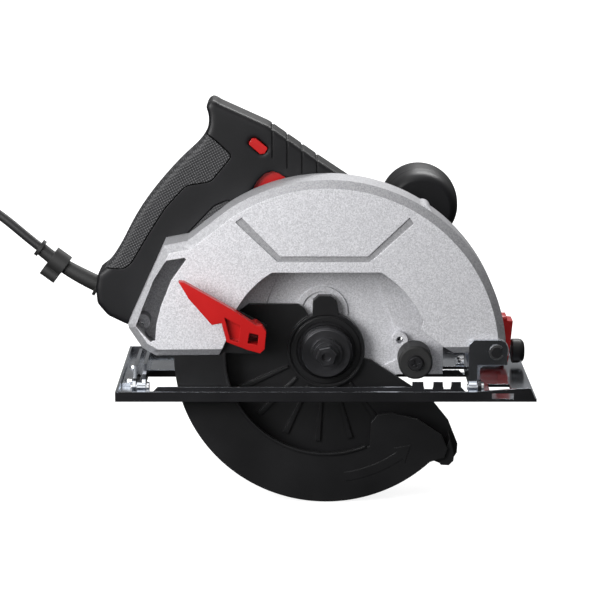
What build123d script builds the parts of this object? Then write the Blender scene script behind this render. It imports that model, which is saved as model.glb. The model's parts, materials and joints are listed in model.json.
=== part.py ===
"""Circular saw of the 184 mm class, shown with no blade on its arbor.

Frame: the origin is the centre of the blade seat on the arbor's axis, +X points to the front of the saw,
+Y along the arbor towards the motor, +Z up. All lengths are in millimetres.
"""

import os
from math import atan2, cos, degrees, hypot, pi, radians, sin, sqrt, tan

from build123d import *

os.makedirs("parts", exist_ok=True)

# ---- driving dimensions ------------------------------------------------------------------------------------
blade_radius = 92.0
cutting_depth = 67.0
blade_gap = 1.8  # free width between the two flanges
sheet = 2.2  # brackets
plate = 2.0  # base
sole_z = cutting_depth - blade_radius
base_top = sole_z + plate
base_rear, base_front = -134.0, 133.0
base_near, base_far = -30.0, 88.0
slot_rear, slot_front = -121.0, 95.0
slot_near, slot_far = -14.0, 30.5
lip_top = sole_z + 6.4

gear_module, gear_teeth, pinion_teeth = 1.0, 40, 8
axle_distance = gear_module * (gear_teeth + pinion_teeth) / 2
motor_x = -2.6
motor_z = sqrt(axle_distance**2 - motor_x**2)

cover_face, cover_bevel, parting = -16.0, -12.0, 1.5  # stations along Y of the upper guard
wall_near, wall_far = 11.5, 14.5  # the gear housing's back wall
guard_radius = 97.5  # lower guard
band_radius = 66.0
pivot_radius = 18.9  # boss that the lower guard turns on
depth_x, depth_z = 108.0, 4.7  # depth hinge, axis along Y
bevel_y, bevel_z = -18.0, -18.5  # bevel hinge, axis along X
handle_near_y, handle_mid_y, handle_far_y = 15.0, 30.0, 45.0
quadrant_y = 46.8
lock_y, lock_z = 52.0, -12.6  # bevel lock bolt
clamp_radius, clamp_angle = 209.5, 5.5  # depth lock bolt, about the depth hinge
motor_radius, motor_wall = 42.0, 2.8
motor_front, motor_rear, cap_end = 33.0, 150.0, 164.0
wall = 2.5  # plastic shells
cord_radius = 3.0
running = 0.05  # radial clearance of a shaft in its hole
floor_z = -98.0  # lowest point of the closed lower guard, which the cord lies level with


# ---- helpers -----------------------------------------------------------------------------------------------
def side(y):
    """Plane at depth y: sketch x is X, sketch y is Z, and a positive extrusion runs towards -Y."""
    return Plane.XZ.offset(-y)


def across(x):
    """Plane at station x: sketch x is Y, sketch y is Z, and a positive extrusion runs towards +X."""
    return Plane.YZ.offset(x)


def polar(radius, angle, centre=(0, 0)):
    return (centre[0] + radius * cos(radians(angle)), centre[1] + radius * sin(radians(angle)))


def sector(inner, outer, start, end, centre=(0, 0), mode=Mode.ADD):
    """Ring sector in the current sketch, angles in degrees, counter-clockwise."""
    middle = (start + end) / 2
    with BuildLine() as edge:
        ThreePointArc(polar(outer, start, centre), polar(outer, middle, centre), polar(outer, end, centre))
        Line(polar(outer, end, centre), polar(inner, end, centre))
        ThreePointArc(polar(inner, end, centre), polar(inner, middle, centre), polar(inner, start, centre))
        Line(polar(inner, start, centre), polar(outer, start, centre))
    make_face(edge.edges(), mode=mode)


def shape(*points, mode=Mode.ADD):
    Polygon(*points, align=None, mode=mode)


def disc(radius, centre=(0, 0), mode=Mode.ADD):
    with Locations(centre):
        Circle(radius, mode=mode)


def gear_outline(teeth, first_tooth, root_share, pitch_share, tip_share):
    """Trapezoid teeth as points; the shares are of half a tooth's pitch angle."""
    pitch = gear_module * teeth / 2
    rings = [(pitch - 1.25 * gear_module, root_share), (pitch, pitch_share), (pitch + gear_module, tip_share)]
    half_pitch = 180 / teeth
    points = []
    for tooth in range(teeth):
        middle = first_tooth + tooth * 360 / teeth
        flank = [(radius, middle - share * half_pitch) for radius, share in rings]
        other = [(radius, middle + share * half_pitch) for radius, share in reversed(rings)]
        points += [polar(radius, angle) for radius, angle in flank + other]
    return points


def finish(builder, label):
    builder.part.label = label
    export_step(builder.part, f"parts/{label}.step")


motor_axis = (motor_x, motor_z)
depth_axis = (depth_x, depth_z)

# ---- base plate --------------------------------------------------------------------------------------------
fence_low, fence_high = 104.6, 118.4
fence_height = 3.5
bridge_y = 70.0
comb = [(55, 62), (68.5, 74.4), (80, 86)]

with BuildPart() as base_plate:
    with BuildSketch(Plane.XY.offset(sole_z)):
        shape((base_rear, base_near), (base_front, base_near), (base_front, base_far), (base_rear, base_far))
        shape((slot_rear, slot_near), (slot_front, slot_near), (slot_front, slot_far), (slot_rear, slot_far),
              mode=Mode.SUBTRACT)
        shape((64, 35), (97, 35), (97, 50), (64, 50), mode=Mode.SUBTRACT)
        shape((105, slot_near), (119, slot_near), (119, 5), (105, 5), mode=Mode.SUBTRACT)
    extrude(amount=plate)
    with BuildSketch(side(base_near + plate * 0.8)):
        shape((base_rear, sole_z + 2), (base_rear + 2, sole_z), (base_front, sole_z), (129, sole_z + 9),
              (124, sole_z + 8.8), (93, lip_top), (base_rear + 2.5, lip_top), (base_rear, lip_top - 2))
    extrude(amount=plate * 0.8)
    with BuildSketch(side(base_far)):
        shape((base_rear, sole_z), (base_front, sole_z), (base_front - 2, lip_top), (base_rear, lip_top))
    extrude(amount=plate * 0.8)
    with BuildSketch(across(base_rear)):
        shape((base_near, sole_z), (base_far, sole_z), (base_far, lip_top), (base_near, lip_top))
    extrude(amount=plate * 0.8)
    with BuildSketch(side(slot_near)):
        shape((slot_rear, sole_z), (89, sole_z), (89, sole_z + 2.5), (86, sole_z + 5.6), (-108, sole_z + 5.6),
              (-111, sole_z + 2.5), (slot_rear, sole_z + 2.5))
    extrude(amount=plate * 0.8)
    with BuildSketch(side(slot_near)):
        for low, high in comb:
            shape((low - 0.5, sole_z), (high + 0.5, sole_z), (high, sole_z + 8.9), (low, sole_z + 8.9))
    extrude(amount=plate * 0.8)
    with BuildSketch(side(slot_near)):
        for low, high in zip([62.5, 74.9], [68, 79.5]):
            shape((low, sole_z + 4.2), (high, sole_z + 4.2), (high, sole_z + 10), (low, sole_z + 10))
    extrude(amount=plate * 0.8, mode=Mode.SUBTRACT)
    with BuildSketch(side(slot_far + plate * 0.8)):
        shape((slot_rear + 3, sole_z), (93, sole_z), (88, sole_z + 4.5), (slot_rear + 3, sole_z + 4.5))
    extrude(amount=plate * 0.8)
    # fence bar: an opening in both lips, and a stamped bridge that carries the clamp screw
    with BuildSketch(side(base_far)):
        shape((fence_low, base_top), (fence_high, base_top), (fence_high, base_top + fence_height),
              (fence_low, base_top + fence_height))
    extrude(amount=plate * 0.8, mode=Mode.SUBTRACT)
    with BuildSketch(side(base_near + plate * 0.8)):
        shape((fence_low, base_top), (fence_high, base_top), (fence_high, base_top + fence_height),
              (fence_low, base_top + fence_height))
    extrude(amount=plate * 0.8, mode=Mode.SUBTRACT)
    with BuildSketch(side(bridge_y + 6)):
        shape((fence_low - 3, base_top), (fence_high + 3, base_top), (fence_high + 3, base_top + 6.5),
              (fence_low - 3, base_top + 6.5))
        shape((fence_low, base_top), (fence_high, base_top), (fence_high, base_top + 3.8),
              (fence_low, base_top + 3.8), mode=Mode.SUBTRACT)
    extrude(amount=12)
    with BuildSketch(Plane.XY.offset(base_top)):
        disc(3.05, ((fence_low + fence_high) / 2, bridge_y))
    extrude(amount=8, mode=Mode.SUBTRACT)
    # tab that holds the front bevel pin
    with BuildSketch(across(96.2)):
        shape((-23, base_top), (-15, base_top), (-15, -16), (-17, -14), (-20, -14), (-23, -16.5))
    extrude(amount=sheet)
    with BuildSketch(across(96.2)):
        disc(2.0, (bevel_y, bevel_z))
    extrude(amount=sheet, mode=Mode.SUBTRACT)
finish(base_plate, "base_plate")

# ---- fixed brackets of the bevel hinge -----------------------------------------------------------------------
quadrant_x = 101.0
lock_radius = hypot(lock_y - bevel_y, lock_z - bevel_z)
lock_angle = degrees(atan2(lock_z - bevel_z, lock_y - bevel_y))
bevel_range = 45.0
bolt_radius = 3.0
rivet_radius = 2.0
front_rivets = [(92.5, 54.5), (92.5, 62.5)]
rear_rivets = [(-127.5, 6), (-127.5, 40)]

with BuildPart() as front_quadrant:
    with BuildSketch(across(quadrant_x)):
        sector(lock_radius - 7, lock_radius + 7, -4, lock_angle + bevel_range + 4.5, (bevel_y, bevel_z))
        sector(lock_radius - bolt_radius - 0.3, lock_radius + bolt_radius + 0.3, lock_angle - 2.8,
               lock_angle + bevel_range + 2.8, (bevel_y, bevel_z), mode=Mode.SUBTRACT)
        shape((40, base_top - 9), (70, base_top - 9), (70, base_top), (40, base_top), mode=Mode.SUBTRACT)
        shape((51, base_top), (59, base_top), (59, base_top + 3), (51, base_top + 3))
    extrude(amount=2.5)
    with BuildSketch(Plane.XY.offset(base_top)):
        shape((88, 51), (quadrant_x + 0.3, 51), (quadrant_x + 0.3, 66), (88, 66))
        for spot in front_rivets:
            disc(rivet_radius, spot, mode=Mode.SUBTRACT)
    extrude(amount=2.0)
finish(front_quadrant, "front_quadrant")

with BuildPart() as rear_bracket:
    with BuildSketch(across(-123.6)):
        shape((-23, base_top), (52, base_top), (52, -14), (40, -8), (-4, -8), (-14, -14), (-20, -14), (-23, -17))
        disc(2.0, (bevel_y, bevel_z), mode=Mode.SUBTRACT)
    extrude(amount=sheet)
    with BuildSketch(Plane.XY.offset(base_top)):
        shape((-132, 0), (-122.4, 0), (-122.4, 48), (-132, 48))
        for spot in rear_rivets:
            disc(rivet_radius, spot, mode=Mode.SUBTRACT)
    extrude(amount=sheet)
finish(rear_bracket, "rear_bracket")

with BuildPart() as bracket_rivets:
    for spot, thickness in [(s, 2.0) for s in front_rivets] + [(s, sheet) for s in rear_rivets]:
        with BuildSketch(Plane.XY.offset(base_top)):
            disc(rivet_radius, spot)
        extrude(amount=thickness + 0.6)
        with BuildSketch(Plane.XY.offset(base_top + thickness)):
            disc(rivet_radius + 1.4, spot)
        extrude(amount=1.6, taper=25)
finish(bracket_rivets, "bracket_rivets")

with BuildPart() as bevel_pivot_pins:
    for start, end in [(89.6, 99.4), (-125.0, -113.0)]:
        with BuildSketch(across(start)):
            disc(2.0, (bevel_y, bevel_z))
        extrude(amount=end - start)
    with BuildSketch(across(98.6)):
        disc(3.4, (bevel_y, bevel_z))
    extrude(amount=1.6)
    with BuildSketch(across(-114.6)):
        disc(3.4, (bevel_y, bevel_z))
    extrude(amount=1.6)
finish(bevel_pivot_pins, "bevel_pivot_pins")

with BuildPart() as fence_clamp_screw:
    screw_x = (fence_low + fence_high) / 2
    with BuildSketch(Plane.XY.offset(base_top + 3.9)):
        disc(3.0, (screw_x, bridge_y))
    extrude(amount=10)
    with BuildSketch(Plane.XY.offset(base_top + 8.5)):
        disc(5.5, (screw_x, bridge_y))
    extrude(amount=4)
    with BuildSketch(Plane.XY.offset(base_top + 10)):
        with Locations((screw_x, bridge_y)):
            SlotOverall(18, 5)
    extrude(amount=8)
finish(fence_clamp_screw, "fence_clamp_screw")

# ---- tilting frame -------------------------------------------------------------------------------------------
ear_near = -16.8
ear_far = 16.2
knuckle = 4.0

with BuildPart() as front_tilt_bracket:
    with BuildSketch(side(ear_near)):
        shape((90.5, bevel_z), (96, bevel_z), (96, -4), (115, -4), (115, 8), (113.5, 11), (110.5, 12.5),
              (93.5, 12.5), (90.5, 9.5))
        disc(3.5, depth_axis, mode=Mode.SUBTRACT)
    extrude(amount=sheet)
    with BuildSketch(side(ear_far + sheet)):
        shape((90.5, -16), (100.4, -16), (115, -4), (115, 8), (113.5, 11), (110.5, 12.5), (93.5, 12.5),
              (90.5, 9.5))
        disc(3.5, depth_axis, mode=Mode.SUBTRACT)
    extrude(amount=sheet)
    with BuildSketch(across(90.5)):
        shape((ear_near - sheet, -17.4), (ear_far + sheet, -17.4), (ear_far + sheet, -5.2),
              (ear_near - sheet, -5.2))
    extrude(amount=2.4)
    with BuildSketch(across(98)):
        shape((ear_far + sheet - 0.5, -16), (62, -18), (62, -5), (56, -1), (30, 9), (ear_far + sheet - 0.5, 12))
        disc(bolt_radius, (lock_y, lock_z), mode=Mode.SUBTRACT)
    extrude(amount=2.4)
    with BuildSketch(across(90.5)):
        disc(knuckle, (bevel_y, bevel_z))
        disc(2.0 + running, (bevel_y, bevel_z), mode=Mode.SUBTRACT)
    extrude(amount=5.3)
    with BuildSketch(across(90.5)):
        disc(2.0 + running, (bevel_y, bevel_z))
    extrude(amount=6, mode=Mode.SUBTRACT)
finish(front_tilt_bracket, "front_tilt_bracket")

with BuildPart() as rear_tilt_bracket:
    with BuildSketch(across(-117.5)):
        shape((bevel_y, bevel_z), (-14, -17.2), (quadrant_y, -17.2), (quadrant_y, -2), (30, -6), (-8, -6),
              (-15, -11), (-20, -13), (-21, -17))
    extrude(amount=2.4)
    with BuildSketch(side(quadrant_y)):
        shape((-117.5, -17.2), (-98, -17.2), (-98, -6), (-104, -2), (-117.5, -2))
    extrude(amount=2.4)
    with BuildSketch(across(-120.9)):
        disc(knuckle, (bevel_y, bevel_z))
    extrude(amount=5.8)
    with BuildSketch(across(-121)):
        disc(2.0 + running, (bevel_y, bevel_z))
    extrude(amount=7, mode=Mode.SUBTRACT)
finish(rear_tilt_bracket, "rear_tilt_bracket")

depth_range = 30.0
with BuildPart() as depth_quadrant:
    low, high = 180 - clamp_angle - depth_range - 2.5, 180 - clamp_angle + 1.5
    with BuildSketch(side(quadrant_y + 2.4)):
        sector(clamp_radius - 9, clamp_radius + 9, low - 1.2, 181.5, depth_axis)
        sector(clamp_radius - 3.2, clamp_radius + 3.2, low + 0.8, high, depth_axis, mode=Mode.SUBTRACT)
        shape((-110.4, 0), (-92.2, 0), (-98.5, -9), (-98.5, -16.5), (-112, -16.5), (-112, -8))
    extrude(amount=2.4)
finish(depth_quadrant, "depth_quadrant")

with BuildPart() as depth_pivot_pin:
    with BuildSketch(side(ear_far + sheet + 2.0)):
        disc(3.5, depth_axis)
    extrude(amount=ear_far + sheet + 2.0 - (ear_near - sheet - 1.6))
    with BuildSketch(side(ear_far + sheet + 2.2)):
        disc(5.5, depth_axis)
    extrude(amount=2.2)
    with BuildSketch(side(ear_near - sheet - 0.3)):
        disc(3.6, depth_axis)
        disc(2.8, depth_axis, mode=Mode.SUBTRACT)
    extrude(amount=0.9, mode=Mode.SUBTRACT)
finish(depth_pivot_pin, "depth_pivot_pin")

with BuildPart() as pivot_circlip:
    with BuildSketch(side(ear_near - sheet - 0.35)):
        sector(2.85, 4.9, 40, 330, depth_axis)
    extrude(amount=0.8)
finish(pivot_circlip, "pivot_circlip")

with BuildPart() as bevel_lock_bolt:
    with BuildSketch(across(94.5)):
        disc(bolt_radius - 0.02, (lock_y, lock_z))
    extrude(amount=29)
    with BuildSketch(across(94.5)):
        with Locations((lock_y, lock_z)):
            RegularPolygon(5.6, 6)
    extrude(amount=3.4)
finish(bevel_lock_bolt, "bevel_lock_bolt")

# ---- bevel lock lever ------------------------------------------------------------------------------------------
with BuildPart() as bevel_lock_lever:
    with BuildSketch(across(103.8)):
        disc(7.5, (lock_y, lock_z))
    extrude(amount=14)
    with BuildSketch(side(lock_y + 7)):
        shape((115.4, -18.5), (122, -18.5), (123.5, -6), (124.8, 9.4), (121, 9.8), (120.6, 12.6), (116.6, 12.6),
              (116, 8), (115.2, -4))
    extrude(amount=14)
    with BuildSketch(across(103)):
        disc(bolt_radius + running, (lock_y, lock_z))
    extrude(amount=24, mode=Mode.SUBTRACT)
    fillet(bevel_lock_lever.edges().filter_by(Axis.X).group_by(Axis.Z)[-1], 2.0)
finish(bevel_lock_lever, "bevel_lock_lever")

with BuildPart() as bevel_lock_knob:
    with BuildSketch(across(124.9)):
        disc(8.2, (lock_y, lock_z))
    extrude(amount=8.5)
    fillet(bevel_lock_knob.edges().group_by(Axis.X)[-1], 4.0)
    fillet(bevel_lock_knob.edges().group_by(Axis.X)[0], 0.8)
finish(bevel_lock_knob, "bevel_lock_knob")

# ---- outlines of the upper guard -------------------------------------------------------------------------------
rim_centre, rim_radius = (1.5, 0.6), 113.3
front_corner = (114.8, 2.6)
shoulder = (-62.0, 95.6)
rear_outline = [shoulder, (-88, 75.4), (-103, 72.4), (-126.3, 21.4), (-126, 18.9), (-117.5, 5.8), (-108.7, 0.6)]
opening_radius, opening_top = 65.5, 55.6
opening_half = sqrt(opening_radius**2 - opening_top**2)
lug_radius = 8.5

with BuildSketch() as envelope:
    with BuildLine():
        ThreePointArc(front_corner, polar(rim_radius, 60, rim_centre), shoulder)
        Polyline(*rear_outline)
        Line(rear_outline[-1], front_corner)
    make_face()

with BuildSketch() as panel_outline:
    with BuildLine():
        ThreePointArc(front_corner, polar(rim_radius, 60, rim_centre), shoulder)
        Polyline(*rear_outline, (-98, -3.3), (-70, -2), (-64, 11.4))
        ThreePointArc((-64, 11.4), polar(opening_radius, 145), (-opening_half, opening_top))
        Line((-opening_half, opening_top), (opening_half, opening_top))
        ThreePointArc((opening_half, opening_top), polar(opening_radius, 40), (61.5, 24.2))
        Polyline((61.5, 24.2), (60.1, 18.2), (75.6, 6.5), (82.5, 1.6), (86.3, 0), (94, 1), front_corner)
    make_face()
    disc(lug_radius, depth_axis)

with BuildSketch() as wall_outline:
    with BuildLine():
        ThreePointArc(front_corner, polar(rim_radius, 60, rim_centre), shoulder)
        Polyline(*rear_outline, (-98, -3.3), (-60, -8), (-30, -20), (40, -20), (47, -18), (76, -18), (76, 6.5),
                 (82.5, 1.6), (86.3, 0), (94, 1), front_corner)
    make_face()
    disc(lug_radius, depth_axis)


def rim(inset):
    """Ring along the outer outline, open at the bottom, in the current sketch."""
    add(envelope.sketch)
    offset(envelope.sketch, amount=-inset, mode=Mode.SUBTRACT)
    shape((-106, 8), (-106, -6), (108.5, -6), (108.5, 8), mode=Mode.SUBTRACT)


chip_window = [(-101.3, 63.3), (-89.7, 65.2), (-88.7, 64), (-98.5, 50.3), (-105.2, 33.4), (-108, 22.4),
               (-109, 11.5), (-112, 10.5), (-121.2, 20.9), (-116.4, 33.4), (-109.5, 50.3)]
badge_band = [(-57.5, 88), (-53.5, 91), (-29.3, 66), (26, 66), (52, 91), (54.5, 87), (27.3, 62.2), (-30.8, 62.2)]
cover_screw_spots = [(61.0, 93.0), (102.5, 37), (-50, 94.6), (-118.5, 19.5)]
screw_radius, screw_boss = 2.0, 5.2
rim_wall = 3.0

with BuildPart() as guard_cover:
    with BuildSketch(side(cover_bevel)):
        add(envelope.sketch)
    extrude(amount=cover_bevel - cover_face, taper=51)
    with BuildSketch(side(cover_face + 3.0)):
        offset(envelope.sketch, amount=-4.2)
    extrude(amount=-(cover_bevel - cover_face), mode=Mode.SUBTRACT)
    with BuildSketch(side(parting)):
        rim(rim_wall)
    extrude(amount=parting - cover_bevel)
    with BuildSketch(side(parting)):
        for spot in cover_screw_spots:
            disc(screw_boss, spot)
    extrude(amount=parting - cover_bevel)
    # the panel ends at its own outline below
    with BuildSketch(side(parting + 1)):
        shape((-140, -20), (140, -20), (140, 80), (-140, 80))
        add(panel_outline.sketch, mode=Mode.SUBTRACT)
    extrude(amount=parting + 1 - cover_face + 1, mode=Mode.SUBTRACT)
    with BuildSketch(side(cover_face + 3.0)):
        disc(lug_radius - 0.4, depth_axis)
        shape((98, 1.2), (112, 3), (112, 12), (98, 12))
    extrude(amount=3.0)
    with BuildSketch(side(parting + 1)):
        shape(*chip_window)
        disc(3.5 + running, depth_axis)
    extrude(amount=parting + 1 - cover_face + 1, mode=Mode.SUBTRACT)
    with BuildSketch(side(cover_face + 0.7)):
        shape(*badge_band)
    extrude(amount=0.7, mode=Mode.SUBTRACT)
    with BuildSketch(side(parting + 1)):
        for spot in cover_screw_spots:
            disc(screw_radius, spot)
    extrude(amount=10, mode=Mode.SUBTRACT)
finish(guard_cover, "guard_cover")

# ---- gear housing ----------------------------------------------------------------------------------------------
recess = [(-46, -8), (-44, 12), (-37, 34), (-30, 50), (-28, 58), (24, 58), (27, 52), (35, 39), (41, 24), (45.6, 10),
          (46, -8), (30, -16), (-30, -16)]
bumper_spot = (57.2, -4.8)
spring_spot = (47.7, 6.2)
gearbox_back = 33.0
bearing_web = 26.5
arbor_bearing_radius, motor_bearing_radius = 14.0, 13.0
lock_pin, lock_pin_y, lock_pin_z = 3.0, 21.5, 8.0

with BuildPart() as gear_housing:
    with BuildSketch(side(wall_far)):
        add(wall_outline.sketch)
    extrude(amount=wall_far - wall_near)
    with BuildSketch(side(wall_near)):
        rim(rim_wall)
    extrude(amount=wall_near - parting - 0.1)
    with BuildSketch(side(wall_near + 1.4)):
        shape(*recess)
    extrude(amount=1.4, mode=Mode.SUBTRACT)
    with BuildSketch(side(gearbox_back)):
        disc(18.5)
        disc(43, motor_axis)
    extrude(amount=gearbox_back - wall_near - 1.4)
    with BuildSketch(side(28.3)):
        disc(24.4)
    extrude(amount=28.3 - wall_near - 1.4)
    with BuildSketch(side(wall_near + 1.4)):
        disc(pivot_radius)
    extrude(amount=wall_near + 1.4 - 4.0)
    with BuildSketch(side(wall_near + 1.4)):
        disc(16.8, motor_axis)
        disc(13.2, motor_axis, mode=Mode.SUBTRACT)
    extrude(amount=1.2)
    # guard stop boss, spring ear and the depth hinge lug
    with BuildSketch(side(wall_near)):
        disc(8.0, bumper_spot)
        disc(5.2, spring_spot)
        disc(lug_radius - 0.4, depth_axis)
    extrude(amount=5.5)
    with BuildSketch(side(wall_near)):
        for spot in cover_screw_spots:
            disc(screw_boss, spot)
    extrude(amount=wall_near - parting - 0.1)
    with BuildSketch(side(wall_far)):
        for spot in cover_screw_spots:
            disc(3.7, spot)
    extrude(amount=wall_far - 12, mode=Mode.SUBTRACT)
    with BuildSketch(side(wall_far)):
        for spot in cover_screw_spots:
            disc(screw_radius, spot)
    extrude(amount=wall_far - parting, mode=Mode.SUBTRACT)
    with BuildSketch(side(bearing_web)):
        disc(22.3)
        disc(6.2, motor_axis)
    extrude(amount=bearing_web - wall_near - 4.0, mode=Mode.SUBTRACT)
    with BuildSketch(side(12.5)):
        disc(arbor_bearing_radius)
    extrude(amount=7.5, mode=Mode.SUBTRACT)
    with BuildSketch(side(13)):
        disc(9.5)
    extrude(amount=10, mode=Mode.SUBTRACT)
    with BuildSketch(side(16)):
        disc(10.5)
    extrude(amount=5, mode=Mode.SUBTRACT)
    with BuildSketch(side(31)):
        disc(9.0)
    extrude(amount=6, mode=Mode.SUBTRACT)
    with BuildSketch(side(gearbox_back)):
        disc(motor_bearing_radius, motor_axis)
        disc(7.0, motor_axis)
    extrude(amount=gearbox_back - bearing_web - 0.5, mode=Mode.SUBTRACT)
    with BuildSketch(side(gearbox_back)):
        disc(7.0, motor_axis)
    extrude(amount=8, mode=Mode.SUBTRACT)
    with BuildSketch(side(wall_far + 1)):
        disc(2.3, spring_spot)
        disc(2.5, bumper_spot)
        disc(3.5 + running, depth_axis)
    extrude(amount=wall_far + 2 - parting, mode=Mode.SUBTRACT)
    with BuildSketch(across(16)):
        disc(lock_pin + running, (lock_pin_y, lock_pin_z))
    extrude(amount=26, mode=Mode.SUBTRACT)
finish(gear_housing, "gear_housing")

# ---- motor -------------------------------------------------------------------------------------------------------
brush_y = 126.0
core_near, core_far = 58.0, 104.0
rear_bearing_y = 140.0
rear_bearing_radius = 11.0
vent_count = 14

with BuildPart() as motor_housing:
    with BuildSketch(side(motor_rear)):
        disc(motor_radius, motor_axis)
    extrude(amount=motor_rear - motor_front)
    with BuildSketch(side(motor_rear)):
        for angle in (0, 180):
            disc(8.5, polar(motor_radius - 6, angle, motor_axis))
    extrude(amount=motor_rear - 112)
    with BuildSketch(side(motor_rear)):
        disc(motor_radius - motor_wall, motor_axis)
    extrude(amount=motor_rear - motor_front, mode=Mode.SUBTRACT)
    # the arm that carries the front knob
    with BuildSketch(side(82)):
        shape((16, 60), (34, 46), (66, 74), (64, 92), (50, 92))
        disc(motor_radius - 0.5, motor_axis, mode=Mode.SUBTRACT)
    extrude(amount=26)
    with BuildSketch(across(motor_x - motor_radius - 8)):
        disc(6.0, (brush_y, motor_z))
    extrude(amount=2 * motor_radius + 16, mode=Mode.SUBTRACT)
    for turn in range(vent_count):
        angle = (turn + 0.5) * 360 / vent_count
        with BuildSketch(side(54)):
            sector(motor_radius - 4, motor_radius + 1, angle - 5, angle + 5, motor_axis)
        extrude(amount=14, mode=Mode.SUBTRACT)
finish(motor_housing, "motor_housing")

with BuildPart() as motor_end_cap:
    with BuildSketch(side(cap_end - 5)):
        disc(motor_radius, motor_axis)
    extrude(amount=cap_end - 5 - motor_rear)
    with BuildSketch(side(cap_end - 5)):
        disc(motor_radius, motor_axis)
    extrude(amount=-5, taper=45)
    with BuildSketch(side(cap_end - 5)):
        disc(motor_radius - motor_wall, motor_axis)
    extrude(amount=cap_end - 5 - motor_rear, mode=Mode.SUBTRACT)
    with BuildSketch(side(cap_end - 2)):
        disc(motor_radius - 8, motor_axis)
    extrude(amount=3, mode=Mode.SUBTRACT)
    with BuildSketch(side(cap_end - 2)):
        disc(rear_bearing_radius + 3, motor_axis)
    extrude(amount=cap_end - 2 - rear_bearing_y)
    with BuildSketch(side(rear_bearing_y + 7.2)):
        disc(rear_bearing_radius, motor_axis)
    extrude(amount=8, mode=Mode.SUBTRACT)
    with BuildSketch(side(rear_bearing_y + 14)):
        disc(6.5, motor_axis)
    extrude(amount=14, mode=Mode.SUBTRACT)
    for row in range(-4, 5):
        reach = sqrt(28**2 - (row * 6.5) ** 2)
        if abs(row) * 6.5 < rear_bearing_radius + 5:
            continue
        with BuildSketch(side(cap_end)):
            shape((motor_x - reach, motor_z + row * 6.5 - 1.4), (motor_x + reach, motor_z + row * 6.5 - 1.4),
                  (motor_x + reach, motor_z + row * 6.5 + 1.4), (motor_x - reach, motor_z + row * 6.5 + 1.4))
        extrude(amount=6, mode=Mode.SUBTRACT)
finish(motor_end_cap, "motor_end_cap")

coil_angles = (0, 180)
with BuildPart() as stator_core:
    with BuildSketch(side(core_far)):
        disc(motor_radius - motor_wall - 0.2, motor_axis)
        disc(24.0, motor_axis, mode=Mode.SUBTRACT)
        for angle in coil_angles:
            for turn in (-39, 39):
                sector(26.7, 35.3, angle + turn - 11.3, angle + turn + 11.3, motor_axis, mode=Mode.SUBTRACT)
    extrude(amount=core_far - core_near)
finish(stator_core, "stator_core")

with BuildPart() as field_coils:
    with BuildSketch(side(core_far + 6)):
        for angle in coil_angles:
            sector(27, 35, angle - 50, angle + 50, motor_axis)
    extrude(amount=core_far - core_near + 12)
    with BuildSketch(side(core_far)):
        for angle in coil_angles:
            sector(26, 36, angle - 28, angle + 28, motor_axis)
    extrude(amount=core_far - core_near, mode=Mode.SUBTRACT)
finish(field_coils, "field_coils")

commutator_radius = 12.0
with BuildPart() as brush_holders:
    for start in (motor_x + commutator_radius + 1.5, motor_x - motor_radius + 3.5):
        with BuildSketch(across(start)):
            disc(5.9, (brush_y, motor_z))
            with Locations((brush_y, motor_z)):
                Rectangle(6.6, 8.6, mode=Mode.SUBTRACT)
        extrude(amount=motor_radius - commutator_radius - 5)
finish(brush_holders, "brush_holders")

with BuildPart() as brushes:
    for start in (motor_x + commutator_radius + 0.1, motor_x - commutator_radius - 0.1 - 16):
        with BuildSketch(across(start)):
            with Locations((brush_y, motor_z)):
                Rectangle(6.4, 8.4)
        extrude(amount=16)
finish(brushes, "brushes")

with BuildPart() as brush_caps:
    for start in (motor_x + motor_radius - 3.4, motor_x - motor_radius - 2.6):
        with BuildSketch(across(start)):
            disc(5.9, (brush_y, motor_z))
        extrude(amount=6)
    with BuildSketch(Plane.XZ.offset(-brush_y)):
        for sign in (1, -1):
            with Locations((motor_x + sign * (motor_radius + 2.6), motor_z)):
                Rectangle(2.4, 9)
    extrude(amount=1.2, both=True, mode=Mode.SUBTRACT)
finish(brush_caps, "brush_caps")


def bearing(near, width, outer, inner, centre):
    """Ball bearing drawn as one closed ring with a groove between its races, in the current part."""
    middle = (outer + inner) / 2
    with BuildSketch(side(near + width)) as ring:
        disc(outer, centre)
        disc(inner, centre, mode=Mode.SUBTRACT)
    extrude(ring.sketch, amount=width)
    for face in (near + 0.6, near + width):
        with BuildSketch(side(face)) as groove:
            disc(middle + 1.2, centre)
            disc(middle - 1.2, centre, mode=Mode.SUBTRACT)
        extrude(groove.sketch, amount=0.6, mode=Mode.SUBTRACT)


armature_shaft_radius = 4.0
arbor_core = 6.0
with BuildPart() as motor_bearings:
    bearing(bearing_web + 0.5, 5.9, motor_bearing_radius, armature_shaft_radius + 1, motor_axis)
    bearing(rear_bearing_y, 7.0, rear_bearing_radius, armature_shaft_radius, motor_axis)
finish(motor_bearings, "motor_bearings")

with BuildPart() as arbor_bearings:
    bearing(5.2, 7.0, arbor_bearing_radius, arbor_core + running, (0, 0))
    bearing(26.5, 4.4, 9.0, arbor_core - 2 + running, (0, 0))
finish(arbor_bearings, "arbor_bearings")

with BuildPart() as armature_shaft:
    first_gap = degrees(atan2(-motor_z, -motor_x)) + 180 / pinion_teeth
    with BuildSketch(side(25.5)):
        with Locations(motor_axis):
            Polygon(*gear_outline(pinion_teeth, first_gap, 0.62, 0.4, 0.16), align=None)
    extrude(amount=8.5)
    with BuildSketch(side(bearing_web)):
        disc(armature_shaft_radius + 1 - 0.3, motor_axis)
    extrude(amount=1)
    with BuildSketch(side(36)):
        disc(armature_shaft_radius + 1 - running, motor_axis)
    extrude(amount=36 - bearing_web)
    with BuildSketch(side(core_near - 1)):
        disc(armature_shaft_radius + 2, motor_axis)
    extrude(amount=core_near - 1 - 36)
    with BuildSketch(side(rear_bearing_y + 8)):
        disc(armature_shaft_radius - running, motor_axis)
    extrude(amount=rear_bearing_y + 8 - core_near + 1)
finish(armature_shaft, "armature_shaft")

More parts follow.
